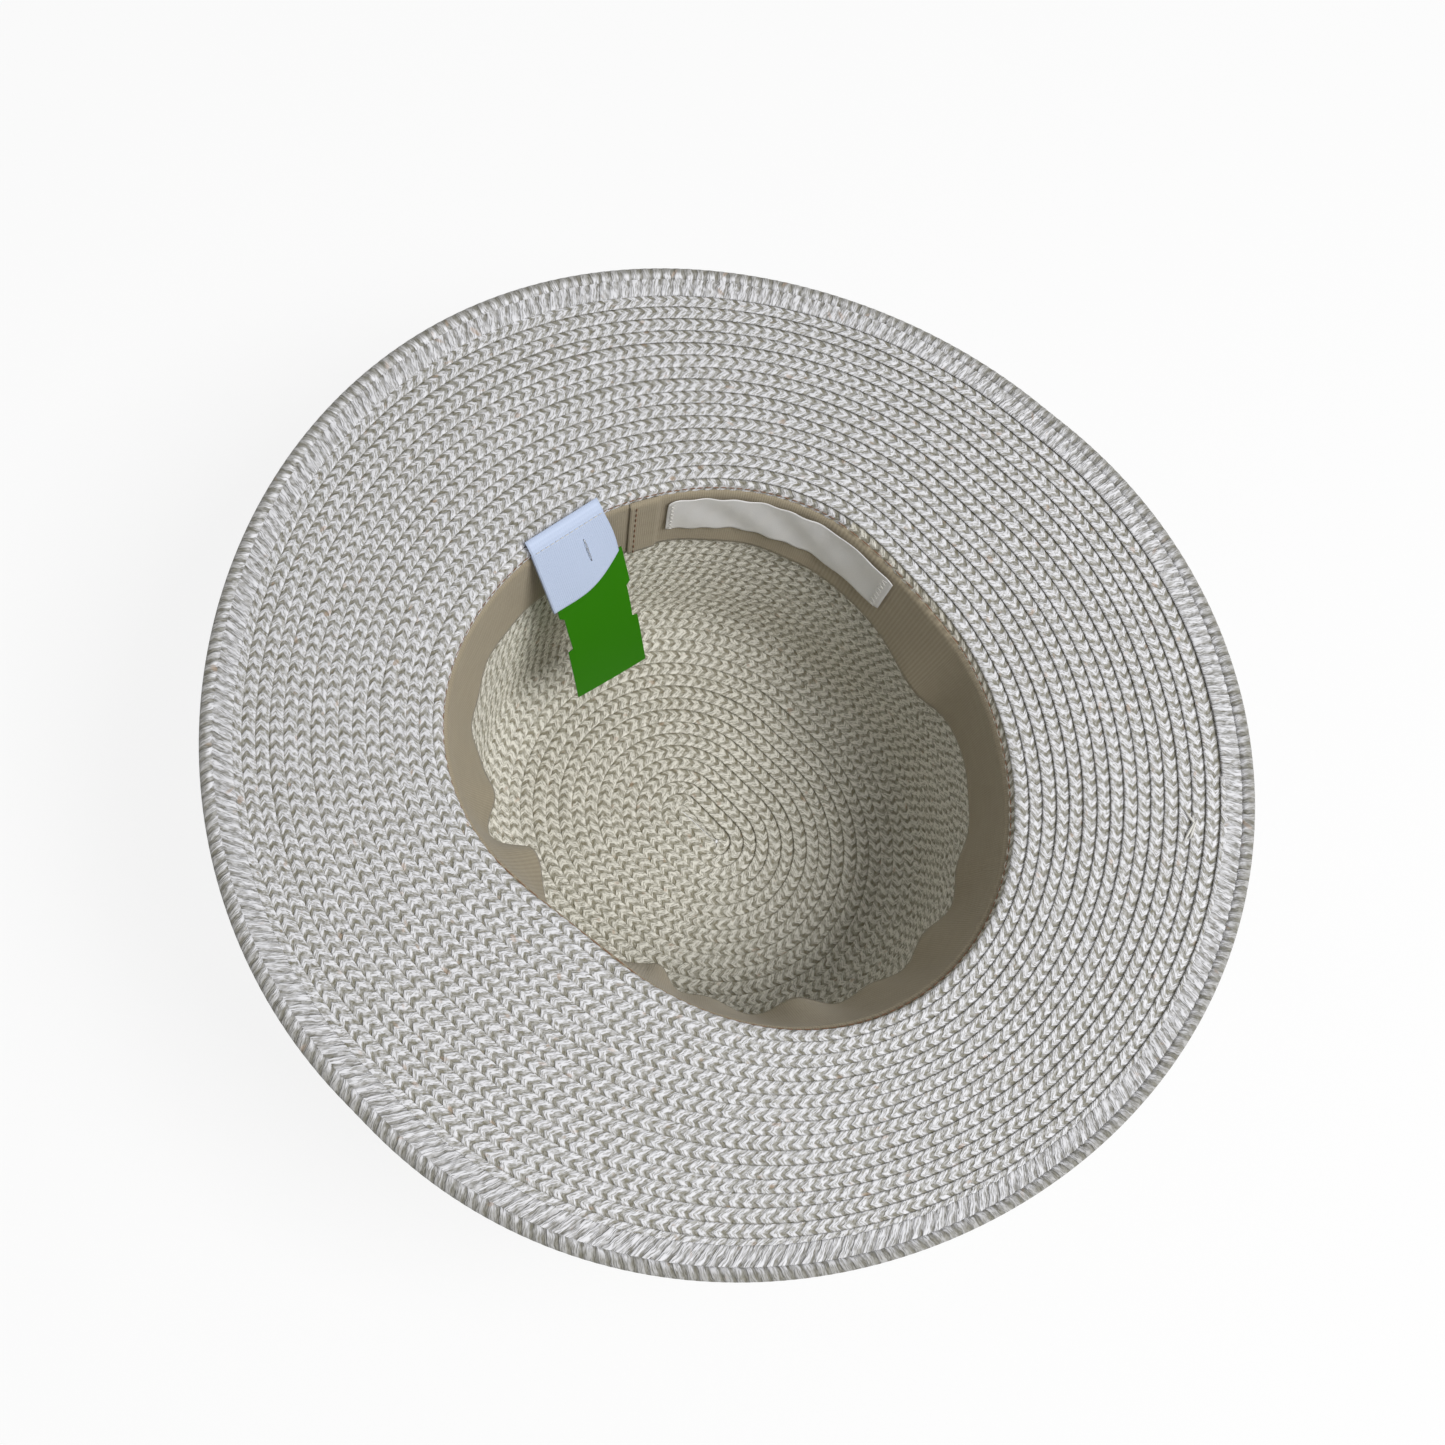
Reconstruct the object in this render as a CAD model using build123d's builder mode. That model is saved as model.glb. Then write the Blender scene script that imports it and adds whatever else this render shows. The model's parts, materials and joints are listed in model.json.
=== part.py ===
"""A wide-brimmed straw sun hat, lying on its crown with the opening upwards.

Millimetres. The origin is the centre of the crown tip's outer face, Z points up
out of the opening, Y runs along the longer axis with +Y at the wearer's back.
Every outline is an oval: two half circles about points on the Y axis, joined by
short straights, so each ring is one profile taken round that oval.
"""
import os
from math import cos, radians, sin, sqrt, tan

from build123d import *

os.makedirs("parts", exist_ok=True)

# The oval
half_straight = 12  # from the middle to the centre of each half circle

# Braid
braid_thickness = 1.8

# Crown
tip_radius = 56  # flat part of the crown tip, beyond half_straight along Y
corner_radius = 22  # from the tip into the side, outer face
side_lean = 5.5  # degrees outwards from upright
opening_height = 106  # head line, on the worn side of the brim

# Brim
brim_reach = 71  # braid rows, in plan, from the head line
brim_slope = 8.3  # degrees
hem_width = 8  # wide band along the edge, in plan
hem_thickness = 2.2
roll_width = 4  # folded edge
roll_thickness = 3.8

# Sweatband, a strip sewn in at the head line
soft_gap = 0.3  # between cloth and braid
sweatband_height = 31
sweatband_thickness = 0.8
sweatband_drop = 1.4  # top edge below the head line
lap_start, lap_sweep = 55, 8  # where the strip's end laps over its start, degrees
thread = 0.5  # thickness of a row of stitches
seam_thread_width = 0.9

# Satin label, sewn flat on the sweatband
trim_gap = 0.05
satin_start, satin_sweep = 1, 51  # degrees about the back half circle
satin_height = 18
satin_thickness = 0.35
satin_gap = 0.15
satin_drop = 2.5  # below the sweatband's top edge
satin_stitch = 0.5  # degrees

# Loop label, folded ribbon hanging from the head line at the back
label_turn = 80  # place round the back half circle, degrees
label_width = 29
label_length = 28
label_thickness = 1.2  # over both leaves
leaf_thickness = 0.35
label_lean = 31  # degrees off upright, into the crown
label_clearance = 0.75  # hinge line inside the sweatband
label_stitch_drop = 2

# Swing tag and its fastener, a plastic strand that hangs from a pin through the label
tag_width = 30
tag_length = 53
tag_thickness = 0.45
tag_gap = 2.4  # behind the label, room for the strand
tag_turn = 4.5  # degrees, as it hangs
tag_hole_radius = 1.5
tag_hole_drop = 4  # below the tag's top edge
tag_notch_radius = 1.4
tag_notch_drop = 21
pin_side = 4.5  # off the middle of the label
pin_drop = 10  # below the hinge line
pin_radius = 0.4
strand_length = 14  # from the pin to the tag's hole
bar_radius = 0.45
bar_length = 9
bar_gap = 0.35
paddle = (2.2, 7, 0.6)

# Splice in the brim's braid
splice_turn = -54  # degrees about the front half circle
splice_sweep = 5
splice_radius = 144
splice_size = (4.6, 0.8)

# Worked out
side_end = (
    tip_radius + corner_radius * cos(radians(side_lean)),
    corner_radius * (1 - sin(radians(side_lean))),
)
side_top = opening_height - braid_thickness
lean = tan(radians(side_lean))
slope = tan(radians(brim_slope))
wall = braid_thickness / cos(radians(side_lean))  # side's thickness on the level
head_radius = side_end[0] + (side_top - side_end[1]) * lean - wall
rows_end = head_radius + brim_reach
hem_end = rows_end + hem_width


def inside(z, off):
    """A point at height z, off the inner face of the crown's side."""
    return (head_radius - (side_top - z) * lean - off, z)


def over_brim(radius, off):
    """A point off the worn face of the brim."""
    return (radius, opening_height + (radius - head_radius) * slope + off)


def wall_strip(z_low, z_high, off_a, off_b):
    """The outline of a strip along the crown's side, between two offsets."""
    return [
        inside(z_low, off_a),
        inside(z_high, off_a),
        inside(z_high, off_b),
        inside(z_low, off_b),
    ]


def brim_strip(start, end, off_a, off_b):
    """The outline of a strip along the brim, between two offsets."""
    return [
        over_brim(start, off_a),
        over_brim(end, off_a),
        over_brim(end, off_b),
        over_brim(start, off_b),
    ]


def outline(points):
    with BuildLine() as edge:
        Polyline(points, close=True)
    make_face(edge.edges())


def round_oval(draw, *args):
    """Takes a profile, drawn as (radius, height), all round the oval."""
    for side in (1, -1):
        centre = (0, side * half_straight, 0)
        start = Plane(origin=centre, x_dir=(side, 0, 0), z_dir=(0, -side, 0))
        with BuildSketch(start) as profile:
            draw(*args)
        revolve(profile.sketch, axis=Axis(centre, (0, 0, 1)), revolution_arc=180)
        extrude(profile.sketch, amount=2 * half_straight)


def part_round(end, start_turn, sweep, points):
    """Takes an outline part of the way round one end's half circle."""
    a = radians(start_turn)
    centre = (0, end * half_straight, 0)
    start = Plane(origin=centre, x_dir=(cos(a), sin(a), 0), z_dir=(sin(a), -cos(a), 0))
    with BuildSketch(start) as profile:
        outline(points)
    revolve(profile.sketch, axis=Axis(centre, (0, 0, 1)), revolution_arc=sweep)


def crown_side_profile():
    """The rounded corner and the leaning side, braid_thickness thick."""
    middle = radians(-(90 + side_lean) / 2)
    inner_radius = corner_radius - braid_thickness

    def on_corner(radius, angle):
        return (tip_radius + radius * cos(angle), corner_radius + radius * sin(angle))

    end_angle = radians(-side_lean)
    outer_end = on_corner(corner_radius, end_angle)
    inner_end = on_corner(inner_radius, end_angle)
    with BuildLine() as edge:
        Line((tip_radius, braid_thickness), (tip_radius, 0))
        ThreePointArc((tip_radius, 0), on_corner(corner_radius, middle), outer_end)
        Line(outer_end, (head_radius + wall, side_top))
        Line((head_radius + wall, side_top), (head_radius, side_top))
        Line((head_radius, side_top), inner_end)
        ThreePointArc(inner_end, on_corner(inner_radius, middle), (tip_radius, braid_thickness))
    make_face(edge.edges())


def edge_roll_profile():
    """The folded edge: flat against the hem, round outside."""
    low = over_brim(hem_end, -(braid_thickness + roll_thickness) / 2)
    high = over_brim(hem_end, (roll_thickness - braid_thickness) / 2)
    with BuildLine() as edge:
        Line(low, high)
        ThreePointArc(high, over_brim(hem_end + roll_width, -braid_thickness / 2), low)
    make_face(edge.edges())


# ---- Braid ----
with BuildPart() as crown_tip_braid:
    with BuildSketch():
        SlotCenterToCenter(2 * half_straight, 2 * tip_radius, rotation=90)
    extrude(amount=braid_thickness)
crown_tip_braid.part.label = "crown_tip_braid"
export_step(crown_tip_braid.part, "parts/crown_tip_braid.step")

with BuildPart() as crown_side_braid:
    round_oval(crown_side_profile)
crown_side_braid.part.label = "crown_side_braid"
export_step(crown_side_braid.part, "parts/crown_side_braid.step")

with BuildPart() as brim_braid:
    round_oval(
        outline,
        [
            (head_radius, side_top),
            (head_radius + wall, side_top),
            over_brim(rows_end, -braid_thickness),
            over_brim(rows_end, 0),
            over_brim(head_radius, 0),
        ],
    )
brim_braid.part.label = "brim_braid"
export_step(brim_braid.part, "parts/brim_braid.step")

with BuildPart() as brim_splice:
    part_round(
        -1,
        splice_turn,
        splice_sweep,
        brim_strip(splice_radius - splice_size[0], splice_radius, trim_gap, splice_size[1]),
    )
brim_splice.part.label = "brim_splice"
export_step(brim_splice.part, "parts/brim_splice.step")

hem_lift = (hem_thickness - braid_thickness) / 2
with BuildPart() as brim_hem_band:
    round_oval(outline, brim_strip(rows_end, hem_end, hem_lift, -braid_thickness - hem_lift))
brim_hem_band.part.label = "brim_hem_band"
export_step(brim_hem_band.part, "parts/brim_hem_band.step")

with BuildPart() as brim_edge_roll:
    round_oval(edge_roll_profile)
brim_edge_roll.part.label = "brim_edge_roll"
export_step(brim_edge_roll.part, "parts/brim_edge_roll.step")

# ---- Sweatband ----
band_top = opening_height - sweatband_drop
band_low = band_top - sweatband_height
band_inner = soft_gap + sweatband_thickness
lap_inner = band_inner + sweatband_thickness
with BuildPart() as sweatband:
    round_oval(outline, wall_strip(band_low, band_top, soft_gap, band_inner))
    part_round(1, lap_start, lap_sweep, wall_strip(band_low, band_top, soft_gap, lap_inner))
sweatband.part.label = "sweatband"
export_step(sweatband.part, "parts/sweatband.step")

with BuildPart() as sweatband_lap_stitches:
    part_round(
        1,
        lap_start + 1,
        1,
        wall_strip(band_low + 2, band_top - 2, lap_inner + trim_gap, lap_inner + thread),
    )
sweatband_lap_stitches.part.label = "sweatband_lap_stitches"
export_step(sweatband_lap_stitches.part, "parts/sweatband_lap_stitches.step")

seam_start = head_radius + thread
with BuildPart() as head_seam_thread:
    round_oval(
        outline,
        brim_strip(seam_start, seam_start + seam_thread_width, trim_gap, thread),
    )
head_seam_thread.part.label = "head_seam_thread"
export_step(head_seam_thread.part, "parts/head_seam_thread.step")

# ---- Satin label ----
satin_top = band_top - satin_drop
satin_low = satin_top - satin_height
satin_outer = band_inner + satin_gap
satin_inner = satin_outer + satin_thickness
with BuildPart() as satin_label:
    part_round(
        1, satin_start, satin_sweep, wall_strip(satin_low, satin_top, satin_outer, satin_inner)
    )
satin_label.part.label = "satin_label"
export_step(satin_label.part, "parts/satin_label.step")

with BuildPart() as satin_label_stitches:
    for turn in (satin_start + satin_stitch, satin_start + satin_sweep - 2 * satin_stitch):
        part_round(
            1,
            turn,
            satin_stitch,
            wall_strip(satin_low + 1, satin_top - 1, satin_inner + trim_gap, satin_inner + thread),
        )
satin_label_stitches.part.label = "satin_label_stitches"
export_step(satin_label_stitches.part, "parts/satin_label_stitches.step")

# ---- Loop label ----
turn = radians(label_turn)
outwards = Vector(cos(turn), sin(turn), 0)
along = Vector(sin(turn), -cos(turn), 0)
tilt = radians(label_lean)
back_centre = Vector(0, half_straight, 0)
hinge_height = band_top + label_thickness / 2
label_bow = head_radius - sqrt(head_radius**2 - (label_width / 2) ** 2)
label_inset = band_inner + label_bow + label_clearance  # hinge line inside the head line
hinge = back_centre + outwards * (head_radius - label_inset) + Vector(0, 0, hinge_height)
facing = outwards * -cos(tilt) + Vector(0, 0, sin(tilt))
label_plane = Plane(origin=hinge, x_dir=along, z_dir=facing)  # Y runs up the label

tab_start = label_thickness / 2 + soft_gap
with BuildPart() as loop_label_tab:
    with BuildSketch(Plane.XY.offset(band_top + trim_gap)):
        with Locations(Location((0, half_straight, 0), (0, 0, label_turn - 90))):
            with Locations((0, head_radius - label_inset + tab_start)):
                Rectangle(label_width, 2 * label_inset, align=(Align.CENTER, Align.MIN))
        with Locations((0, half_straight)):
            Circle(head_radius - trim_gap, mode=Mode.INTERSECT)
    extrude(amount=2 * leaf_thickness)
loop_label_tab.part.label = "loop_label_tab"
export_step(loop_label_tab.part, "parts/loop_label_tab.step")

# Here Y runs down the label
fold_plane = Plane(origin=hinge - along * (label_width / 2), x_dir=facing, z_dir=along)
with BuildPart() as loop_label:
    with BuildSketch(fold_plane):
        with Locations((0, (label_length - label_thickness) / 2)):
            SlotOverall(label_length, label_thickness, rotation=90)
            SlotOverall(
                label_length - 2 * leaf_thickness,
                label_thickness - 2 * leaf_thickness,
                rotation=90,
                mode=Mode.SUBTRACT,
            )
    extrude(amount=label_width)
    with BuildSketch(label_plane.offset(-label_thickness)):
        with Locations((pin_side, -pin_drop)):
            Circle(pin_radius + trim_gap)
    extrude(amount=2 * label_thickness, mode=Mode.SUBTRACT)
loop_label.part.label = "loop_label"
export_step(loop_label.part, "parts/loop_label.step")

with BuildPart() as loop_label_stitches:
    with BuildSketch(label_plane.offset(label_thickness / 2 + trim_gap)):
        with Locations((0, -label_stitch_drop)):
            Rectangle(label_width - 3, thread)
    extrude(amount=thread)
loop_label_stitches.part.label = "loop_label_stitches"
export_step(loop_label_stitches.part, "parts/loop_label_stitches.step")

# ---- Swing tag ----
# Its plane starts at the pin, and Y runs up the strand
pin_foot = hinge + along * pin_side + label_plane.y_dir * -pin_drop
swing = radians(tag_turn)
across_tag = along * cos(swing) - label_plane.y_dir * sin(swing)
hang = Plane(origin=pin_foot, x_dir=across_tag, z_dir=facing)
tag_front = -label_thickness / 2 - tag_gap
tag_top = tag_hole_drop - strand_length
with BuildPart() as swing_tag:
    with BuildSketch(hang.offset(tag_front)):
        with Locations((0, tag_top - tag_length / 2)):
            Rectangle(tag_width, tag_length)
        with Locations((0, -strand_length)):
            Circle(tag_hole_radius, mode=Mode.SUBTRACT)
        for side in (1, -1):
            with Locations((side * tag_width / 2, tag_top - tag_notch_drop)):
                Circle(tag_notch_radius, mode=Mode.SUBTRACT)
    extrude(amount=-tag_thickness)
swing_tag.part.label = "swing_tag"
export_step(swing_tag.part, "parts/swing_tag.step")

strand_depth = -label_thickness / 2 - tag_gap / 2
bar_depth = tag_front - tag_thickness - bar_gap - bar_radius
with BuildPart() as tag_fastener:
    with BuildSketch(hang.offset(label_thickness / 2 + trim_gap)):
        Rectangle(paddle[0], paddle[1])
    extrude(amount=paddle[2])
    with BuildSketch(hang.offset(strand_depth - pin_radius)):
        Circle(pin_radius)
    extrude(amount=label_thickness / 2 + paddle[2] - strand_depth + pin_radius)
    with BuildSketch(hang.offset(bar_depth)):
        with Locations((0, -strand_length)):
            Circle(pin_radius)
    extrude(amount=strand_depth + pin_radius - bar_depth)
    strand_top = pin_foot + hang.z_dir * strand_depth
    with BuildSketch(Plane(origin=strand_top, z_dir=-hang.y_dir)):
        Circle(pin_radius)
    extrude(amount=strand_length)
    bar_middle = pin_foot + hang.y_dir * -strand_length + hang.z_dir * bar_depth
    with BuildSketch(Plane(origin=bar_middle - hang.x_dir * (bar_length / 2), z_dir=hang.x_dir)):
        Circle(bar_radius)
    extrude(amount=bar_length)
tag_fastener.part.label = "tag_fastener"
export_step(tag_fastener.part, "parts/tag_fastener.step")

print("hinge", [round(v, 3) for v in hinge])
print("along", [round(v, 5) for v in along])
print("facing", [round(v, 5) for v in facing])
print("pin", [round(v, 3) for v in pin_foot])
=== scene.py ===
# %% [markdown]
# # A straw sun hat
# The hat lies on its crown, so the camera looks into the crown and on to the worn side of the brim.
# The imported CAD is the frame: it gives the bodies, the hinges and the sizes. Everything soft is
# modelled again here as it really is: braid wound and sewn in a spiral, a loose cloth sweatband,
# ribbon labels and a card tag.

# %% Load the frame
import json
import math

import bmesh
import bpy
import numpy as np
from mathutils import Matrix, Vector


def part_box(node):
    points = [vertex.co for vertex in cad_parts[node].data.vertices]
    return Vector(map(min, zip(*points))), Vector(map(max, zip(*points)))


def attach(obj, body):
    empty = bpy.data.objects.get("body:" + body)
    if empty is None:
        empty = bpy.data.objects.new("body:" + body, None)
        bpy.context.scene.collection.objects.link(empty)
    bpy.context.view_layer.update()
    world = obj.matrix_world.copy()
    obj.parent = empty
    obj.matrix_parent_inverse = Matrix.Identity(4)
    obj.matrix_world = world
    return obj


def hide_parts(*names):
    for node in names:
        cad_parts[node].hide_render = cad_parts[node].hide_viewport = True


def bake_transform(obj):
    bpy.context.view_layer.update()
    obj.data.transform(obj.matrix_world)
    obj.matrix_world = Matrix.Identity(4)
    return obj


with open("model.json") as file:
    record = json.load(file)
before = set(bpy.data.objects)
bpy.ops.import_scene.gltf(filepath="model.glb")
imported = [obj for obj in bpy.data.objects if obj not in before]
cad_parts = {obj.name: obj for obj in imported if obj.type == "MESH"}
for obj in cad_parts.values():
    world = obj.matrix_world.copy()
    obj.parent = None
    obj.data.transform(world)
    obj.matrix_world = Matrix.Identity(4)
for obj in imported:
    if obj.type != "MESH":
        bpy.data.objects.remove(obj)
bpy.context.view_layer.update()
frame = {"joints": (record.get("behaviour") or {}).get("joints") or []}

rng = np.random.default_rng(7)

# %% [markdown]
# ## Sizes
# Metres. The brim and the hinge come from the frame's nodes, and the head line is given. The braid's pitch and
# stitch are those of a 5 mm paper-straw braid.

# %% Sizes from the frame
MM = 0.001
tip_low, tip_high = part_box("crown_tip_braid")
rows_low, rows_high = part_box("brim_braid")
hem_low, hem_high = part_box("brim_hem_band")
roll_low, roll_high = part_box("brim_edge_roll")
band_low, band_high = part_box("sweatband")

BRAID_T = tip_high.z - tip_low.z
TIP_R = (tip_high.x - tip_low.x) / 2
CORNER_R = 22 * MM
SIDE_LEAN = math.radians(5.5)
HEAD_Z = 106 * MM
HEAD_R = 84.2 * MM
ROWS_R = (rows_high.x - rows_low.x) / 2
HEM_R = (hem_high.x - hem_low.x) / 2
EDGE_R = (roll_high.x - roll_low.x) / 2
BRIM_SLOPE = math.radians(8.3)
BEND_R = 3.2 * MM  # rounding of the head line

SLANT = -0.62  # how far the strands run along, in stitches, from the middle to an edge
HEM_SLANT, ROLL_SLANT = -1.25, -0.9
PITCH = 4.75 * MM  # from row to row
STRIP_W = 6.0 * MM  # each row laps over its neighbour
STITCH = 4.3 * MM
joints = {j["name"]: j for j in frame["joints"]}
HINGE = Vector(joints["label_flap"]["pos_m"])
ALONG = -Vector(joints["label_flap"]["axis"]).normalized()
FACING = Vector(joints["tag_swing"]["axis"]).normalized()
DOWN = ALONG.cross(FACING).normalized()
print("rows end", round(ROWS_R, 4), "edge", round(EDGE_R, 4), "down", tuple(round(x, 3) for x in DOWN))

# %% [markdown]
# ## The hat's surface
# One half outline, from the middle of the crown tip to the brim's edge, is taken round an oval.
# A place on the hat is therefore two numbers: how far out along that outline, and how far round.
# A real straw hat is never quite even, so the oval is a little three-cornered at the head line.

# %% The half outline
def half_outline():
    """Points (radius, height) of the middle of the braid's thickness, from the tip outwards."""
    mid = BRAID_T / 2
    corner = CORNER_R - mid
    sweep = np.linspace(-math.pi / 2, -SIDE_LEAN, 40)
    r = [np.linspace(0, TIP_R, 60)[:-1], TIP_R + corner * np.cos(sweep)]
    z = [np.full(59, mid), CORNER_R + corner * np.sin(sweep)]
    outer = HEAD_R + mid
    turn = math.pi / 2 - SIDE_LEAN - BRIM_SLOPE
    back = BEND_R * math.tan(turn / 2)
    knee = np.array([outer, HEAD_Z - mid])
    wall_way = np.array([math.sin(SIDE_LEAN), math.cos(SIDE_LEAN)])
    brim_way = np.array([math.cos(BRIM_SLOPE), math.sin(BRIM_SLOPE)])
    start, end = knee - wall_way * back, knee + brim_way * back
    wall = np.linspace([r[1][-1], z[1][-1]], start, 60)[1:]
    t = np.linspace(0, 1, 16)[1:, None]
    bend = (1 - t) ** 2 * start + 2 * t * (1 - t) * knee + t**2 * end
    reach = (EDGE_R + 0.01 - end[0]) / brim_way[0]
    brim = np.linspace(end, end + brim_way * reach, 80)[1:]
    line = np.concatenate([np.stack([np.concatenate(r), np.concatenate(z)], 1), wall, bend, brim])
    return line


LINE = half_outline()
STEP = np.linalg.norm(np.diff(LINE, axis=0), axis=1)
OUT = np.concatenate([[0], np.cumsum(STEP)])  # distance out along the outline
WAY = np.gradient(LINE, OUT, axis=0)
WAY /= np.linalg.norm(WAY, axis=1)[:, None]


def out_at(radius):
    """How far out along the outline the brim has this radius."""
    return float(np.interp(radius, LINE[120:, 0], OUT[120:]))


HEAD_S = out_at(HEAD_R + BRAID_T / 2)
ROWS_S, HEM_S, EDGE_S = out_at(ROWS_R), out_at(HEM_R), out_at(EDGE_R)
HALF_AT = ((0, TIP_R, HEAD_S, ROWS_S, EDGE_S + 0.01), (8.5 * MM, 11 * MM, 14 * MM, 7 * MM, 6 * MM))


def oval(out, turn, base, lift):
    """Places on the hat. out is along the outline, turn and base say where round the oval, and lift
    is off the middle of the braid, towards the worn side. All are arrays of one shape."""
    out = np.maximum(out, 0)
    r, z = np.interp(out, OUT, LINE[:, 0]), np.interp(out, OUT, LINE[:, 1])
    wr, wz = np.interp(out, OUT, WAY[:, 0]), np.interp(out, OUT, WAY[:, 1])
    half = np.interp(out, *HALF_AT)
    r, z = r - wz * lift, z + wr * lift
    x, y = r * np.cos(turn), r * np.sin(turn) + half * base
    round_at = np.arctan2(y, x)
    on_side = np.clip((out - TIP_R) / (HEAD_S - TIP_R), 0, 1) ** 2
    on_brim = np.clip((out - HEAD_S) / (EDGE_S - HEAD_S), 0, 1)
    at_head = 3.2 * MM * np.cos(3 * round_at - 0.98) * on_side * (1 - on_brim)
    at_edge = 2.1 * MM * np.cos(3 * round_at + 2.5) * on_brim
    scale = 1 + (at_head + at_edge) / np.maximum(np.hypot(x, y), 0.01)
    z = z + on_brim**1.5 * MM * (-2.4 * np.sin(round_at) + 1.2 * np.cos(4 * round_at + 0.6))
    return np.stack([x * scale - 0.6 * MM * on_brim, y * scale + 2.2 * MM * on_brim, z], -1)


def round_oval(out, share):
    """(turn, base) for shares of the way round, by length, starting at +X."""
    r, half = np.maximum(np.interp(out, OUT, LINE[:, 0]), 1e-6), np.interp(out, *HALF_AT)
    length = 2 * math.pi * r + 4 * half
    t = np.mod(share, 1) * length
    arc = math.pi * r
    a = t - half
    b = a - arc
    c = b - 2 * half
    d = c - arc
    turn = np.where(
        a < 0,
        0,
        np.where(b < 0, a / r, np.where(c < 0, math.pi, np.where(d < 0, math.pi + c / r, 2 * math.pi))),
    )
    base = np.where(
        a < 0,
        t / half,
        np.where(b < 0, 1, np.where(c < 0, 1 - b / half, np.where(d < 0, -1, -1 + d / half))),
    )
    return turn, base


# %% [markdown]
# ## Helpers
# A strip is a grid of points: along it and across (or round) it. Its own coordinates are written
# as a UV map, in stitches along and in half widths across, which the materials read.

# %% Mesh helpers
def grid_mesh(name, points, u, v, ring=False, closed=False):
    """A mesh of an (along, across) grid of points. ring joins the last point across to the first, and
    closed the last ring to the first. u and v are the UV map, with one more value for each joined way."""
    n, m = points.shape[:2]
    index = np.arange(n * m).reshape(n, m)
    if ring:
        index = np.concatenate([index, index[:, :1]], 1)
    if closed:
        index = np.concatenate([index, index[:1]], 0)
    u, v = np.broadcast_arrays(u, v)

    def corners(grid):
        return np.stack([grid[:-1, :-1], grid[:-1, 1:], grid[1:, 1:], grid[1:, :-1]], -1).reshape(-1, 4)

    faces = corners(index)
    loops = faces.ravel()
    uv = np.stack([corners(u).ravel(), corners(v).ravel()], 1)
    starts = np.arange(0, faces.size, 4)
    if ring and not closed:
        ends = np.concatenate([index[0, :-1][::-1], index[-1, :-1]])
        flat = np.concatenate([np.stack([u[0, :-1], v[0, :-1]], 1)[::-1], np.stack([u[-1, :-1], v[-1, :-1]], 1)])
        starts = np.concatenate([starts, [faces.size, faces.size + m]])
        loops, uv = np.concatenate([loops, ends]), np.concatenate([uv, flat])
    mesh = bpy.data.meshes.new(name)
    mesh.vertices.add(n * m)
    mesh.vertices.foreach_set("co", points.reshape(-1).astype(np.float32))
    mesh.loops.add(len(loops))
    mesh.loops.foreach_set("vertex_index", loops.astype(np.int32))
    mesh.polygons.add(len(starts))
    mesh.polygons.foreach_set("loop_start", starts.astype(np.int32))
    mesh.update(calc_edges=True)
    mesh.uv_layers.new(name="Weave").uv.foreach_set("vector", uv.ravel().astype(np.float32))
    mesh.polygons.foreach_set("use_smooth", np.ones(len(starts), bool))
    obj = bpy.data.objects.new(name, mesh)
    bpy.context.scene.collection.objects.link(obj)
    return obj


def dress(obj, material, body, slot, *nodes):
    """Gives a finished piece its material and body and hides the CAD nodes it stands for; slot is not used."""
    obj.data.materials.clear()
    obj.data.materials.append(material)
    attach(obj, body)
    if nodes:
        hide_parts(*nodes)
    return obj


# %% [markdown]
# ## Materials
# One node group draws the plaited strands from a strip's own coordinates: bundles of fine filaments
# slant both ways from the middle of the strip like the legs of a V, with shadowed gaps between.

# %% Node helpers
def new_material(name):
    mat = bpy.data.materials.new(name)
    mat.use_nodes = True
    tree = mat.node_tree
    return mat, tree, tree.nodes["Principled BSDF"]


class Nodes:
    """A short way to add nodes and link them: numbers are set on the socket, sockets are linked."""

    def __init__(self, tree):
        self.tree = tree

    def put(self, socket, value):
        if isinstance(value, bpy.types.NodeSocket):
            self.tree.links.new(value, socket)
        elif value is not None:
            socket.default_value = value

    def add(self, kind, **values):
        node = self.tree.nodes.new(kind)
        for key, value in values.items():
            setattr(node, key, value)
        return node

    def math(self, operation, a, b=None, c=None):
        node = self.add("ShaderNodeMath", operation=operation)
        for socket, value in zip(node.inputs, (a, b, c)):
            self.put(socket, value)
        return node.outputs[0]

    def noise(self, vector, scale, detail=2.0, rough=0.5):
        node = self.add("ShaderNodeTexNoise")
        self.put(node.inputs["Vector"], vector)
        self.put(node.inputs["Scale"], scale)
        self.put(node.inputs["Detail"], detail)
        self.put(node.inputs["Roughness"], rough)
        return node.outputs["Fac"]

    def combine(self, x, y, z=0.0):
        node = self.add("ShaderNodeCombineXYZ")
        for socket, value in zip(node.inputs, (x, y, z)):
            self.put(socket, value)
        return node.outputs[0]

    def ramp(self, value, low, high, to_low=0.0, to_high=1.0):
        node = self.add("ShaderNodeMapRange", interpolation_type="SMOOTHSTEP")
        for socket, x in zip(node.inputs, (value, low, high, to_low, to_high)):
            self.put(socket, x)
        return node.outputs[0]

    def mix(self, share, a, b):
        node = self.add("ShaderNodeMix", data_type="RGBA")
        self.put(node.inputs[0], share)
        self.put(node.inputs[6], a)
        self.put(node.inputs[7], b)
        return node.outputs[2]

    def bump(self, height, distance, strength=1.0):
        node = self.add("ShaderNodeBump")
        self.put(node.inputs["Height"], height)
        self.put(node.inputs["Distance"], distance)
        self.put(node.inputs["Strength"], strength)
        return node.outputs[0]

    def weave(self):
        """(along, across) of the piece's own UV map."""
        uv = self.add("ShaderNodeUVMap", uv_map="Weave")
        apart = self.add("ShaderNodeSeparateXYZ")
        self.put(apart.inputs[0], uv.outputs[0])
        return apart.outputs[0], apart.outputs[1]


def rgb(red, green, blue):
    """A colour given as on a screen, 0 to 255, as the shader's linear colour."""
    return tuple(((c / 255 + 0.055) / 1.055) ** 2.4 if c > 10 else c / 255 / 12.92 for c in (red, green, blue)) + (1.0,)


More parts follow.
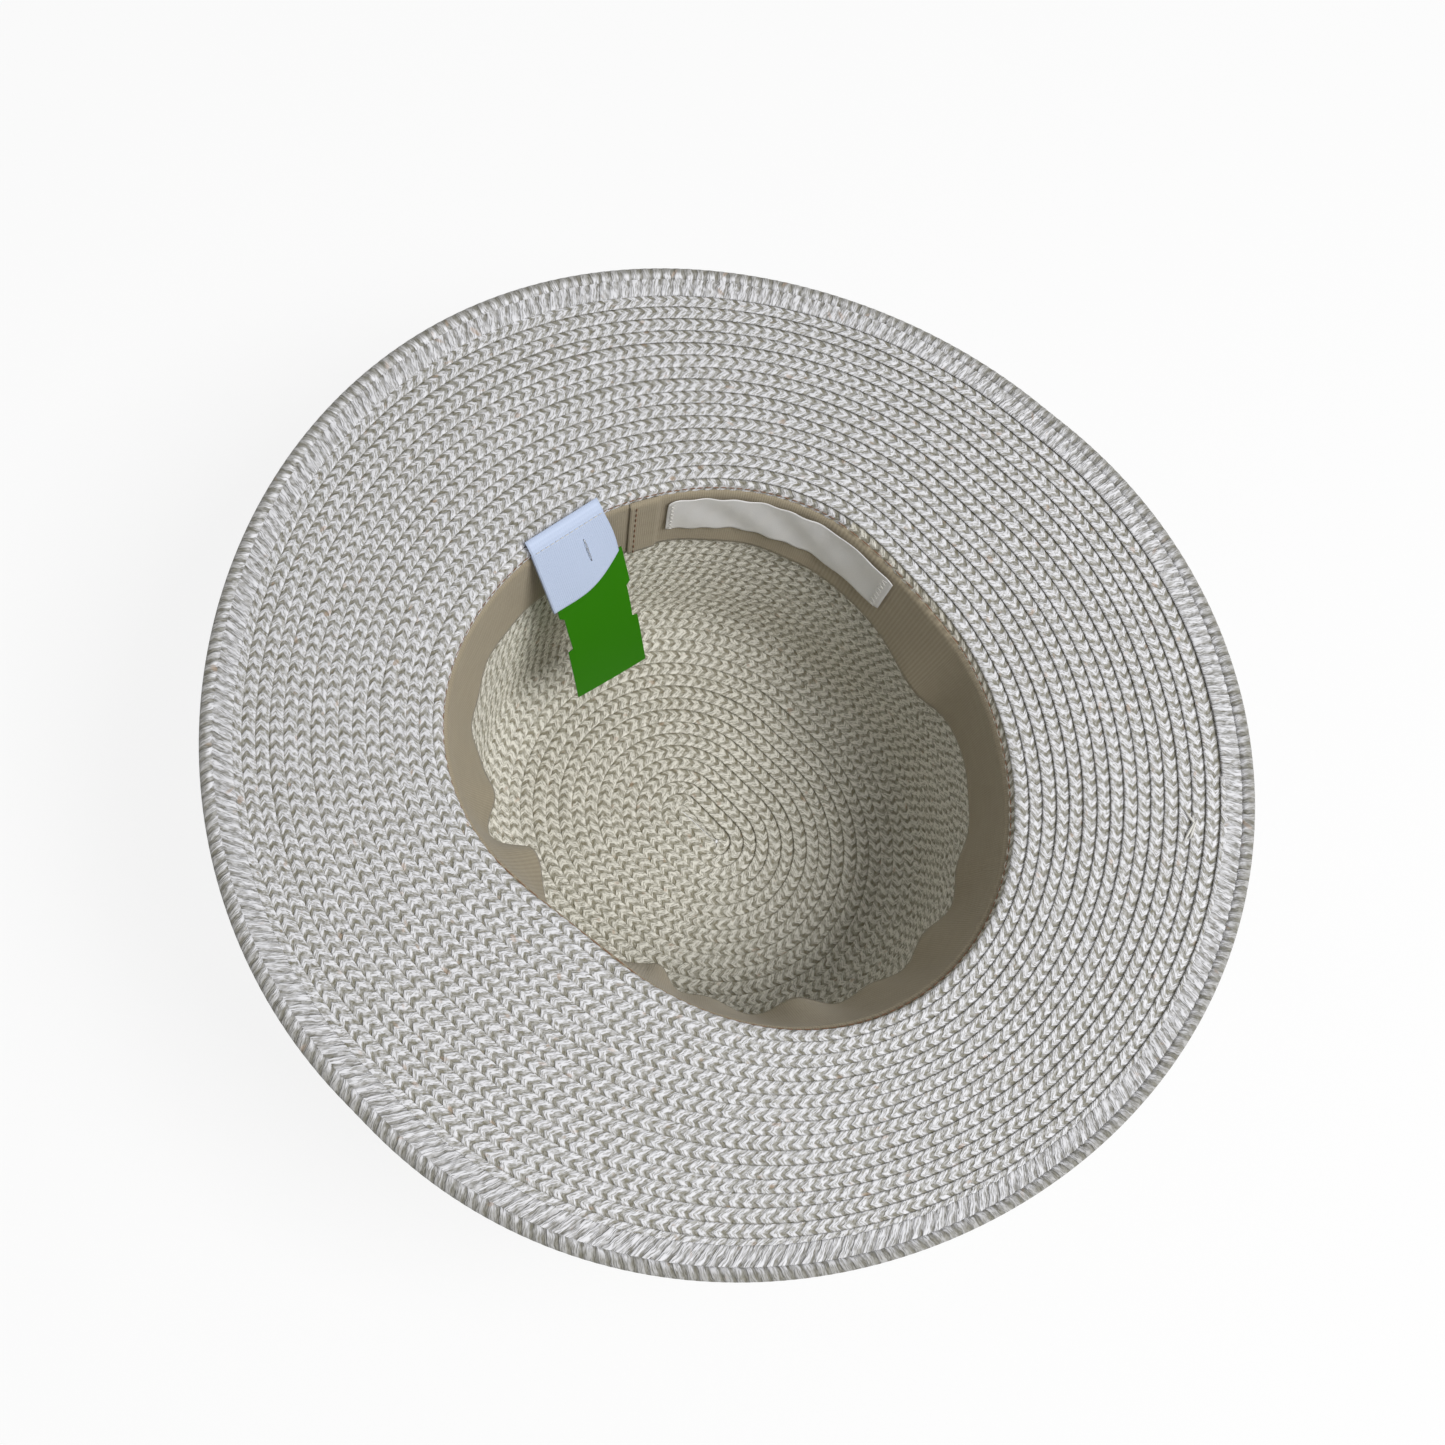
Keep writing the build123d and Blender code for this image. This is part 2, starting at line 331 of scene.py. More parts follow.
# %% The plait group
def plait_group():
    """Along, Across, Slant -> Bundle (0 in the gaps), Strand (fine filaments), Speckle, Fleck."""
    group = bpy.data.node_groups.new("Plait", "ShaderNodeTree")
    for name in ("Along", "Across", "Slant", "Filaments"):
        group.interface.new_socket(name, in_out="INPUT", socket_type="NodeSocketFloat")
    for name in ("Bundle", "Strand", "Speckle", "Fleck"):
        group.interface.new_socket(name, in_out="OUTPUT", socket_type="NodeSocketFloat")
    k = Nodes(group)
    given = k.add("NodeGroupInput").outputs
    made = k.add("NodeGroupOutput").inputs
    along, across, slant, filaments = (given[i] for i in range(4))
    place = k.combine(along, across)
    lean = k.math("MULTIPLY", k.math("ABSOLUTE", across), slant)
    stray = k.math("MULTIPLY_ADD", k.noise(place, 1.6, 1.0), 0.34, -0.17)
    phase = k.math("ADD", k.math("ADD", along, lean), stray)
    wave = k.math("COSINE", k.math("MULTIPLY", phase, 2 * math.pi))
    # Filaments run along the bundle, so they are narrow in phase and long across it
    fine = k.combine(k.math("MULTIPLY", phase, filaments), k.math("MULTIPLY", across, 1.9))
    k.put(made["Bundle"], k.ramp(wave, -0.85, 0.3))
    k.put(made["Strand"], k.ramp(k.noise(fine, 1.0, 1.0), 0.4, 0.56))
    k.put(made["Speckle"], k.noise(place, 2.3, 2.0, 0.6))
    k.put(made["Fleck"], k.ramp(k.noise(place, 0.9, 1.0), 0.68, 0.78))
    return group


PLAIT = plait_group()


def straw(name, light, dark, slant, filaments, relief, gap=1.0):
    """Straw braid: pale filament bundles, olive gaps, a few tan flecks and painted shade towards the next row's edge.
    """
    mat, tree, skin = new_material(name)
    k = Nodes(tree)
    along, across = k.weave()
    plait = k.add("ShaderNodeGroup", node_tree=PLAIT)
    for key, value in (("Along", along), ("Across", across), ("Slant", slant), ("Filaments", filaments)):
        k.put(plait.inputs[key], value)
    bundle, strand, speckle, fleck = (plait.outputs[i] for i in range(4))
    # The gaps are open towards the strip's outer side and close up towards its inner side
    deep = k.ramp(across, -1.0, 0.2, 0.5 * gap, 0.85 * gap)
    # Painted shade: the strip is darkened towards the next row's edge, where that row's step casts its shadow line
    tucked = k.ramp(across, 0.3, 0.62, 1.0, 0.45)
    body = k.math("SUBTRACT", 1.0, k.math("MULTIPLY", deep, k.math("SUBTRACT", 1.0, bundle)))
    body = k.math("MULTIPLY", body, k.math("MULTIPLY_ADD", strand, 0.62, 0.38))
    share = k.math("ADD", body, k.math("MULTIPLY_ADD", speckle, 1.1, -0.5))
    share = k.math("MULTIPLY", k.ramp(share, -0.1, 0.95), tucked)
    tone = k.mix(share, dark, light)
    tone = k.mix(k.math("MULTIPLY", fleck, 0.45), tone, rgb(190, 160, 132))
    k.put(skin.inputs["Base Color"], tone)
    height = k.math("MULTIPLY_ADD", strand, 0.7, bundle)
    k.put(skin.inputs["Normal"], k.bump(height, relief))
    skin.inputs["Roughness"].default_value = 0.55
    skin.inputs["Specular IOR Level"].default_value = 0.4
    return mat


STRAW = straw("straw braid", rgb(237, 237, 240), rgb(129, 125, 107), SLANT, 6.0, 0.25 * MM)
# Painted warm bounce light: the crown's copy of the same straw is given warmer colours for the light thrown back inside
# the crown
CROWN_STRAW_PAINTED_BOUNCE = straw("crown braid with painted bounce", rgb(244, 241, 230), rgb(140, 134, 112), SLANT, 6.0, 0.25 * MM)
HEM_STRAW = straw("hem braid", rgb(235, 235, 238), rgb(122, 119, 107), HEM_SLANT, 7.0, 0.3 * MM, 0.9)
ROLL_STRAW = straw("edge braid", rgb(235, 235, 238), rgb(124, 121, 108), ROLL_SLANT, 7.0, 0.3 * MM, 0.9)


# %% Cloth, ribbon, card and plastic
def cloth():
    mat, tree, skin = new_material("sweatband cloth")
    k = Nodes(tree)
    along, across = k.weave()
    rib = k.math("COSINE", k.math("MULTIPLY", along, 2 * math.pi))
    weft = k.math("COSINE", k.math("MULTIPLY", across, 2 * math.pi * 34))
    cloudy = k.noise(k.combine(k.math("MULTIPLY", along, 0.05), k.math("MULTIPLY", across, 3.0)), 2.0, 3.0)
    grain = k.noise(k.combine(along, k.math("MULTIPLY", across, 30.0)), 2.0, 2.0)
    tone = k.math("MULTIPLY_ADD", rib, 0.12, k.math("MULTIPLY_ADD", grain, 0.5, k.math("MULTIPLY", cloudy, 0.3)))
    k.put(skin.inputs["Base Color"], k.mix(k.ramp(tone, 0.1, 0.75), rgb(150, 138, 116), rgb(171, 160, 137)))
    k.put(skin.inputs["Normal"], k.bump(k.math("MULTIPLY_ADD", rib, 0.6, k.math("MULTIPLY", weft, 0.35)), 0.05 * MM))
    skin.inputs["Roughness"].default_value = 0.85
    skin.inputs["Sheen Weight"].default_value = 0.15
    return mat


def satin():
    mat, tree, skin = new_material("satin ribbon")
    k = Nodes(tree)
    along, across = k.weave()
    thread = k.noise(k.combine(k.math("MULTIPLY", along, 3.0), k.math("MULTIPLY", across, 60.0)), 1.0, 2.0)
    k.put(skin.inputs["Base Color"], k.mix(thread, rgb(214, 213, 212), rgb(242, 241, 240)))
    k.put(skin.inputs["Normal"], k.bump(thread, 0.02 * MM))
    skin.inputs["Metallic"].default_value = 0.1
    skin.inputs["Roughness"].default_value = 0.34
    skin.inputs["Anisotropic"].default_value = 0.5
    return mat


def ribbon():
    mat, tree, skin = new_material("white ribbon")
    k = Nodes(tree)
    along, across = k.weave()
    a = k.math("COSINE", k.math("MULTIPLY", along, 2 * math.pi * 60))
    b = k.math("COSINE", k.math("MULTIPLY", across, 2 * math.pi * 40))
    k.put(skin.inputs["Normal"], k.bump(k.math("ADD", a, b), 0.02 * MM))
    skin.inputs["Base Color"].default_value = rgb(198, 212, 238)
    skin.inputs["Roughness"].default_value = 0.55
    skin.inputs["Subsurface Weight"].default_value = 0.0
    return mat


def plain(name, colour, rough, **more):
    mat, _, skin = new_material(name)
    skin.inputs["Base Color"].default_value = colour
    skin.inputs["Roughness"].default_value = rough
    for key, value in more.items():
        skin.inputs[key.replace("_", " ")].default_value = value
    return mat


CLOTH, SATIN, RIBBON = cloth(), satin(), ribbon()
CARD = plain("green card", rgb(46, 122, 3), 0.32, Specular_IOR_Level=0.3)
NYLON = plain("clear nylon", rgb(226, 228, 230), 0.25, Transmission_Weight=0.7, IOR=1.5)
BROWN_THREAD = plain("brown thread", rgb(132, 98, 74), 0.8)
WHITE_THREAD = plain("white thread", rgb(222, 220, 214), 0.75)

# %% [markdown]
# ## The braid
# One strip is wound from the middle of the crown tip to the brim. Each sample of its path has a
# ring of points: the upper side across the strip, then the under side back. Each row's inner edge
# lies on the row before it, which is what draws the fine shadow lines between the rows.

# %% Wind the braid
TOP_ACROSS = np.array([-1, -0.95, -0.8, -0.52, -0.26, 0, 0.26, 0.52, 0.8, 0.95, 1])
UNDER_ACROSS = np.array([0.9, 0.35, -0.35, -0.9])
ACROSS = np.concatenate([TOP_ACROSS, UNDER_ACROSS])
IS_TOP = np.concatenate([np.ones(len(TOP_ACROSS)), -np.ones(len(UNDER_ACROSS))])
STRIP_T = 0.5 * MM  # half the strip's thickness
START_LAP = -0.42  # the strip starts folded round a short straight line


def wind(start_lap, end_lap, step):
    """Laps along the path at even steps of length, with that length."""
    laps, length, lap, run = [], [], start_lap, 0.0
    while lap < end_lap:
        laps.append(lap)
        length.append(run)
        out = max(lap, 0) * PITCH
        r = np.interp(out, OUT, LINE[:, 0])
        lap += step / (2 * math.pi * r + 4 * np.interp(out, *HALF_AT))
        run += step
    return np.array(laps), np.array(length)


def wander(length, every, size, seed):
    """A smooth random value along the strip."""
    draw = np.random.default_rng(seed)
    marks = np.arange(0, length[-1] + 3 * every, every)
    return np.interp(length, marks, draw.normal(0, size, len(marks)))


LAPS, LENGTH = wind(START_LAP, (ROWS_S + 0.75 * PITCH) / PITCH, STITCH / 6)
STITCHES = LENGTH / STITCH + wander(LENGTH, 0.19, 0.45, 3) + wander(LENGTH, 0.011, 0.07, 4)
ROW_SHIFT = wander(LENGTH, 0.05, 0.12 * MM, 5)
ROW_WIDE = 1 + wander(LENGTH, 0.03, 0.025, 6)
ROW_LIFT = wander(LENGTH, 0.04, 0.07 * MM, 8)


def braid_rings(first, last):
    """The rings of points of the strip between two samples of its path."""
    laps, u = LAPS[first : last + 1, None], STITCHES[first : last + 1, None]
    ring = ACROSS[None, :]
    centre = laps * PITCH + ROW_SHIFT[first : last + 1, None]
    half = STRIP_W / 2 * ROW_WIDE[first : last + 1, None]
    nibble = 0.05 * MM * np.cos(2 * math.pi * 1.5 * u) * np.sign(ring) * (np.abs(ring) > 0.9)
    low = np.maximum(centre - half, 0.1 * MM)
    high = np.maximum(centre + half, 0.5 * MM)
    out = low + (ring + 1) / 2 * (high - low) + nibble
    turn, base = round_oval(centre, laps)
    phase = u + SLANT * np.abs(ring)
    bundle = 0.5 + 0.5 * np.cos(2 * math.pi * phase)
    relief = (0.24 * bundle**0.6 - 0.12) * MM * (1 - np.abs(ring) ** 6)
    edge = np.sqrt(np.clip(1 - np.abs(ring) ** 10, 0, 1))
    lift = -0.78 * MM * ring + IS_TOP * STRIP_T * edge + np.where(IS_TOP > 0, relief, -0.6 * relief)
    lift = lift + 0.12 * MM * (1 - ring**2) * IS_TOP + ROW_LIFT[first : last + 1, None]
    points = oval(out, np.broadcast_to(turn, out.shape), np.broadcast_to(base, out.shape), lift)
    return points, u


PER_PIECE = 6200
tip_count = int(np.searchsorted(LAPS, TIP_R / PITCH))
head_count = int(np.searchsorted(LAPS, HEAD_S / PITCH))


def braid_run(name, first, last, node, material):
    """One stretch of the strip, in pieces small enough to handle."""
    cuts = np.linspace(first, last, math.ceil((last - first) / PER_PIECE) + 1).astype(int)
    for i, (a, b) in enumerate(zip(cuts[:-1], cuts[1:])):
        points, u = braid_rings(a, b)
        obj = grid_mesh(f"{name}_{i + 1}", points, u, np.append(ACROSS, -1)[None, :], ring=True)
        dress(obj, material, "hat", "braid", *([node] if i == 0 else []))
    return len(cuts) - 1


made = braid_run("tip_braid", 0, tip_count, "crown_tip_braid", CROWN_STRAW_PAINTED_BOUNCE)
made += braid_run("side_braid", tip_count, head_count, "crown_side_braid", CROWN_STRAW_PAINTED_BOUNCE)
made += braid_run("brim_rows", head_count, len(LAPS) - 1, "brim_braid", STRAW)
print("braid", len(LAPS), "samples in", made, "pieces,", round(float(LENGTH[-1]), 1), "m long")

# %% [markdown]
# ## The edge
# A wider flat band of the same straw is sewn round, and its outer side is folded into a roll.

# %% Hem band and rolled edge
def round_strip(name, ring_out, ring_lift, v, step, unit, relief):
    """A closed strip round the oval. ring_out and ring_lift are its section, and relief its strands."""
    middle = float(np.mean(ring_out))
    r = float(np.interp(middle, OUT, LINE[:, 0]))
    around = 2 * math.pi * r + 4 * float(np.interp(middle, *HALF_AT))
    n, stitches = int(around / step), round(around / unit)
    share = np.linspace(0, 1, n + 1)[:, None]
    drift = 0.25 * np.sin(2 * math.pi * 3 * share) + 0.2 * np.sin(2 * math.pi * 11 * share + 1)
    u = share * stitches + drift + 0.5 * np.minimum(1, np.abs(v[None, :])) * (1 + np.cos(2 * math.pi * share))
    turn, base = round_oval(np.full_like(share[:-1], middle), share[:-1])
    out = np.broadcast_to(ring_out[None, :], (n, len(ring_out)))
    lift = ring_lift[None, :] + relief(u[:-1, :-1], v[None, :-1])
    points = oval(out, np.broadcast_to(turn, out.shape), np.broadcast_to(base, out.shape), lift)
    return grid_mesh(name, points, u, v[None, :], ring=True, closed=True)


HEM_UNIT = 3.7 * MM
hem_v = np.concatenate([np.linspace(-1, 0, 13), [-0.05, -0.35, -0.65, -0.95]])
hem_top = np.concatenate([np.ones(13), -np.ones(4)])
hem_start = ROWS_S + 1.3 * MM
hem_wide = HEM_S + 0.4 * MM - hem_start
hem_arch = 1 - np.abs(2 * hem_v + 1) ** 5
hem = round_strip(
    "hem_band",
    hem_start + (1 + hem_v) * hem_wide,
    hem_top * (0.3 + 0.5 * hem_arch) * MM + 0.55 * MM * hem_v**2,
    np.append(hem_v, -1),
    HEM_UNIT / 7,
    HEM_UNIT,
    lambda u, v: 0.1 * MM * np.cos(2 * math.pi * (u + HEM_SLANT * np.abs(v))) * hem_top,
)
dress(hem, HEM_STRAW, "hat", "hem_braid", "brim_hem_band")

roll_turn = np.linspace(0, 2 * math.pi, 19)[:-1]
roll_r = (EDGE_S - HEM_S) / 2
roll = round_strip(
    "rolled_edge",
    HEM_S + roll_r * (0.88 - 1.1 * np.cos(roll_turn)),
    1.7 * MM * np.sin(roll_turn),
    np.linspace(0, 2, 19),
    HEM_UNIT / 7,
    HEM_UNIT,
    lambda u, v: 0.13 * MM * np.cos(2 * math.pi * (u + ROLL_SLANT * v)),
)
dress(roll, ROLL_STRAW, "hat", "hem_braid", "brim_edge_roll")
print("hem and roll", len(hem.data.polygons), len(roll.data.polygons))

# %% [markdown]
# ## The sweatband
# A strip of ribbed cloth. Its upper edge is sewn in at the head line and its ends lap. The free
# edge hangs loose, so it waves off the wall and bulges where the cloth has slack.

# %% Sweatband
BAND_H = 31 * MM
BAND_START = math.radians(54)
BAND_LAP = math.radians(8)
BULGES = (  # where round the head line, how far in at the free edge, and how wide, in degrees and mm
    (-166, 10, 6),
    (-150, 7, 12),
    (-126, 9, 9),
    (-106, 6, 10),
    (-86, 6, 9),
    (-64, 3.5, 9),
    (-12, 7, 8),
    (122, 2.5, 10),
    (138, 5, 7),
    (149, 8, 7),
    (168, 12, 6),
)


def turned(angle):
    """(turn, base) of the place round the head line at this angle seen from the middle."""
    a = np.mod(angle, 2 * math.pi)
    turn = a.copy()
    base = np.sin(turn)
    base = np.sign(base) * np.minimum(1, np.abs(base) * 5)
    return turn, base


def band_off(angle, down):
    """How far the band stands off the wall: nothing at its sewn edge, most at the free edge."""
    degrees = np.degrees(np.mod(angle + math.pi, 2 * math.pi) - math.pi)
    off = 0.9 + 0.4 * np.sin(5 * angle + 0.5) + 0.3 * np.sin(17 * angle + 2.5 * down)
    for place, size, wide in BULGES:
        apart = np.mod(degrees - place + 180, 360) - 180
        off = off + size * np.exp(-((apart / wide) ** 2))
    return (0.25 + off * down**1.35) * MM


def band_place(angle, down, more=0.0):
    """A place on the sweatband's inner face; down is 0 at the head line and 1 at the free edge."""
    turn, base = turned(angle)
    lift = BRAID_T / 2 + band_off(angle, down) + more
    tucked = 1.2 * MM * np.maximum(0, 1 - 20 * down)
    out = HEAD_S - 1.6 * MM - down * BAND_H
    sag = 1 - 0.03 * np.sin(3 * angle + 1)
    return oval(HEAD_S + (out - HEAD_S) * sag, turn, base, lift + 0.5 * MM - tucked)


angles = np.linspace(BAND_START, BAND_START + 2 * math.pi + BAND_LAP, 700)[:, None]
downs = np.linspace(0, 1, 22)[None, :]
lapped = np.clip((angles - BAND_START - 2 * math.pi) / 0.01, 0, 1) * 0.9 * MM
a_grid, d_grid = np.broadcast_arrays(angles, downs)
band_points = band_place(a_grid, d_grid, lapped)
band_length = 0.56
ribs = (angles - BAND_START) / (2 * math.pi) * band_length / (0.9 * MM)
band = grid_mesh("sweatband_cloth", band_points, ribs, 1 - 2 * downs)
solid = band.modifiers.new("thickness", "SOLIDIFY")
solid.thickness, solid.offset = 0.6 * MM, 0
dress(band, CLOTH, "hat", "band_cloth", "sweatband")


# %% Stitches
def stitch_run(name, starts, ends, radius, material, slot, body, *nodes):
    """Short rounded stitches from starts to ends, as one mesh."""
    sides, rows = 6, 5
    ring = np.linspace(0, 2 * math.pi, sides + 1)[:-1]
    verts, faces = [], []
    for start, end in zip(starts, ends):
        start, end = Vector(start), Vector(end)
        way = (end - start).normalized()
        side = way.orthogonal().normalized()
        other = way.cross(side)
        first = len(verts)
        for j in range(rows):
            t = j / (rows - 1)
            thick = radius * (0.45 + 0.55 * math.sin(math.pi * t) ** 0.5)
            mid = start.lerp(end, t)
            verts += [mid + (side * math.cos(a) + other * math.sin(a)) * thick for a in ring]
        for j in range(rows - 1):
            for i in range(sides):
                a, b = first + j * sides + i, first + j * sides + (i + 1) % sides
                faces.append((a, b, b + sides, a + sides))
        faces.append(tuple(first + i for i in reversed(range(sides))))
        faces.append(tuple(first + (rows - 1) * sides + i for i in range(sides)))
    mesh = bpy.data.meshes.new(name)
    mesh.from_pydata([tuple(v) for v in verts], [], faces)
    mesh.polygons.foreach_set("use_smooth", np.ones(len(faces), bool))
    obj = bpy.data.objects.new(name, mesh)
    bpy.context.scene.collection.objects.link(obj)
    return dress(obj, material, body, slot, *nodes)


seam_at = np.linspace(0, 2 * math.pi, 190, endpoint=False)
seam_turn, seam_base = turned(seam_at)
seam_next = turned(seam_at + 2 * math.pi / 190 * 0.78)
seam_lift = np.full_like(seam_at, BRAID_T / 2 + 0.2 * MM)
seam_out = np.full_like(seam_at, HEAD_S - 0.6 * MM)
seam_a = oval(seam_out, seam_turn, seam_base, seam_lift)
seam_b = oval(seam_out, *seam_next, seam_lift)
stitch_run("head_seam", seam_a, seam_b, 0.2 * MM, BROWN_THREAD, "thread", "hat", "head_seam_thread")

lap_down = np.linspace(0.06, 0.94, 9)
lap_angle = np.full_like(lap_down, BAND_START + BAND_LAP - math.radians(1.6))
lap_a = band_place(lap_angle + 2 * math.pi, lap_down, 1.4 * MM)
lap_b = band_place(lap_angle + 2 * math.pi, lap_down + 0.06, 1.4 * MM)
stitch_run("lap_seam", lap_a, lap_b, 0.25 * MM, BROWN_THREAD, "thread", "hat", "sweatband_lap_stitches")
print("sweatband", len(band.data.polygons))

# %% [markdown]
# ## Labels and tag
# The satin label is sewn flat at its ends and puckers between. The loop label is a ribbon folded in
# two and sewn in at the head line. The card swings on its nylon pin.

# %% Satin label
satin_angle = np.radians(np.linspace(52, 0.5, 120))[:, None]
satin_down = np.linspace(0.1, 0.68, 26)[None, :]
sa, sd = np.broadcast_arrays(satin_angle, satin_down)
across_v = (sd - 0.39) / 0.29
along_v = (np.degrees(sa) - 26.2) / 25.8
pucker = 0.5 * MM * np.sin(9 * along_v + 2.2 * across_v) * (1 - along_v**4) * (1 - 0.5 * across_v**2)
pucker = pucker + 0.25 * MM * np.sin(23 * along_v - 3 * across_v)
corner = np.maximum(np.abs(along_v) - 0.93, 0) / 0.07
squeeze = 1 - 0.12 * corner**2
satin_points = band_place(sa, 0.39 + (sd - 0.39) * squeeze, 1.3 * MM + pucker)
satin_obj = grid_mesh("satin_strip", satin_points, along_v * 30, across_v)
solid = satin_obj.modifiers.new("thickness", "SOLIDIFY")
solid.thickness, solid.offset = 0.25 * MM, 0
dress(satin_obj, SATIN, "hat", "satin", "satin_label")

zig = []
for end_angle in (50.8, 1.7):
    down = np.linspace(0.13, 0.65, 15)
    swing = np.where(np.arange(15) % 2, 0.5, -0.5)
    zig.append(band_place(np.radians(end_angle + swing), down, 1.9 * MM))
zig_a = np.concatenate([z[:-1] for z in zig])
zig_b = np.concatenate([z[1:] for z in zig])
stitch_run("satin_stitches", zig_a, zig_b, 0.16 * MM, WHITE_THREAD, "light_thread", "hat", "satin_label_stitches")


# %% Loop label
def on_label(side, down, off):
    """A point in the label's own directions: along the hinge, down the label and off its middle."""
    return HINGE + ALONG * side + DOWN * down + FACING * off


LABEL_W, LABEL_L = 29 * MM, 28 * MM
FRONT_ROWS, FOLD_ROWS, BACK_ROWS = 26, 9, 18


def label_end(side):
    """How far down the fold lies: the ribbon's corner on the tag's side is curled away behind."""
    over = np.clip((side / LABEL_W + 0.32) / 0.82, 0, 1)
    return LABEL_L - 8.5 * MM * over**2.6


def label_line(side):
    """Points (down, off) from the sewn edge, round the fold and back up, at one place across."""
    end = label_end(side)
    r = 0.5 * MM + 0.55 * MM * np.clip(side / LABEL_W + 0.3, 0, 1)
    front = [(-5.2 * MM, -1.4 * MM), (-3.0 * MM, -0.3 * MM), (-1.2 * MM, 0.35 * MM)]
    front += [(d, 0.45 * MM) for d in np.linspace(0.3 * MM, end - r, FRONT_ROWS)]
    fold = [(end - r + r * math.sin(t), 0.45 * MM - r * (1 - math.cos(t))) for t in np.linspace(0.3, 2.9, FOLD_ROWS)]
    behind = np.linspace(fold[-1][0] - 0.3 * MM, 0.6 * MM, BACK_ROWS)
    share = np.clip((behind - end + 6 * MM) / (6 * MM), 0, 1)
    return front + fold + [(d, -0.5 * MM + (fold[-1][1] + 0.5 * MM) * k) for d, k in zip(behind, share)]


sides = np.linspace(-LABEL_W / 2, LABEL_W / 2, 30)
label_points = np.zeros((FRONT_ROWS + FOLD_ROWS + BACK_ROWS + 3, len(sides), 3))
for j, side in enumerate(sides):
    for i, (down, off) in enumerate(label_line(side)):
        far = np.clip(down / LABEL_L, 0, 1)
        wave = 0.35 * MM * far * math.sin(6.0 * side / LABEL_W + 1) - 1.0 * MM * far**2 * max(0, side / LABEL_W) ** 2
        skew = -0.9 * MM * (1 - far) * (side < 0) + 1.5 * MM * math.sin(math.pi * far) * (side > 0)
        label_points[i, j] = on_label(side + skew * abs(side) / LABEL_W * 2, down, off + wave)
label = grid_mesh(
    "loop_ribbon", label_points, np.linspace(0, 1, len(label_points))[:, None], (sides / LABEL_W)[None, :]
)
solid = label.modifiers.new("thickness", "SOLIDIFY")
solid.thickness, solid.offset = 0.22 * MM, 0
label.data.materials.append(RIBBON)
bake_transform(label)
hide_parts("loop_label", "loop_label_tab")

stitch_at = np.linspace(-LABEL_W / 2 + 1.5 * MM, LABEL_W / 2 - 1.5 * MM, 14)
label_a = [on_label(s - 0.75 * MM, -0.1 * MM, 0.85 * MM) for s in stitch_at]
label_b = [on_label(s + 0.75 * MM, -0.1 * MM, 0.85 * MM) for s in stitch_at]
stitch_run("loop_stitches", label_a, label_b, 0.16 * MM, WHITE_THREAD, "light_thread", "label", "loop_label_stitches")


# %% Swing tag and its fastener
PIN = Vector(joints["tag_swing"]["pos_m"])
TAG_TURN = math.radians(4.5)
TAG_ACROSS = ALONG * math.cos(TAG_TURN) + DOWN * math.sin(TAG_TURN)
TAG_DOWN = DOWN * math.cos(TAG_TURN) - ALONG * math.sin(TAG_TURN)


def on_tag(side, down, off):
    """A point in the tag's own directions, from the pin in the label."""
    return PIN + TAG_ACROSS * side + TAG_DOWN * down + FACING * off


TAG_W, TAG_L, TAG_T = 30 * MM, 53 * MM, 0.45 * MM
STRAND = 14 * MM  # from the pin to the tag's hole
TAG_TOP, TAG_FRONT = STRAND - 4 * MM, -3.0 * MM
NOTCH_DOWN, NOTCH_R, HOLE_R = 21 * MM, 1.4 * MM, 1.5 * MM


def tag_outline(steps):
    """The card's edge as (side, down) from its top middle, with a long recess in each long side."""
    right = [(TAG_W / 2, 0), (TAG_W / 2, NOTCH_DOWN - 6.2 * MM)]
    for share in np.linspace(0, 1, steps):
        deep = NOTCH_R * (1.2 - 0.1 * math.sin(math.pi * share) + 0.3 * share)
        right.append((TAG_W / 2 - deep, NOTCH_DOWN + (14 * share - 5) * MM))
    right += [(TAG_W / 2, NOTCH_DOWN + 9.6 * MM), (TAG_W / 2, TAG_L)]
    return right + [(-s, d) for s, d in reversed(right)]


def bent(side, down):
    """The card is a little bowed along its length, as a card that has hung in a shop."""
    return 1.1 * MM * math.sin(math.pi * down / TAG_L) - 0.8 * MM * (side / TAG_W) ** 2


mesh = bpy.data.meshes.new("green_tag")
bm = bmesh.new()
edge = [bm.verts.new((s, d, 0)) for s, d in tag_outline(9)]
hole = []
for a in np.linspace(0, 2 * math.pi, 25)[:-1]:
    hole.append(bm.verts.new((HOLE_R * math.cos(a), 4 * MM + HOLE_R * math.sin(a), 0)))
for loop in (edge, hole):
    for a, b in zip(loop, loop[1:] + loop[:1]):
        bm.edges.new((a, b))
bmesh.ops.triangle_fill(bm, edges=bm.edges[:], use_beauty=True)
for axis, count, size in ((1, 17, TAG_L), (0, 9, TAG_W)):
    for i in range(1, count):
        at = [0, 0, 0]
        at[axis] = size * i / count - (TAG_W / 2 if axis == 0 else 0)
        normal = [0, 0, 0]
        normal[axis] = 1
        everything = bm.verts[:] + bm.edges[:] + bm.faces[:]
        bmesh.ops.bisect_plane(bm, geom=everything, plane_co=at, plane_no=normal, dist=1e-6)
bmesh.ops.recalc_face_normals(bm, faces=bm.faces)
for vert in bm.verts:
    side, down, _ = vert.co
    vert.co = on_tag(side, TAG_TOP + down, TAG_FRONT - TAG_T / 2 + bent(side, down))
if sum((face.normal.dot(FACING) for face in bm.faces)) < 0:
    bmesh.ops.reverse_faces(bm, faces=bm.faces)
bm.to_mesh(mesh)
bm.free()
tag = bpy.data.objects.new("green_tag", mesh)
bpy.context.scene.collection.objects.link(tag)
solid = tag.modifiers.new("thickness", "SOLIDIFY")
solid.thickness, solid.offset = TAG_T, 0
dress(tag, CARD, "tag", "green_card", "swing_tag")

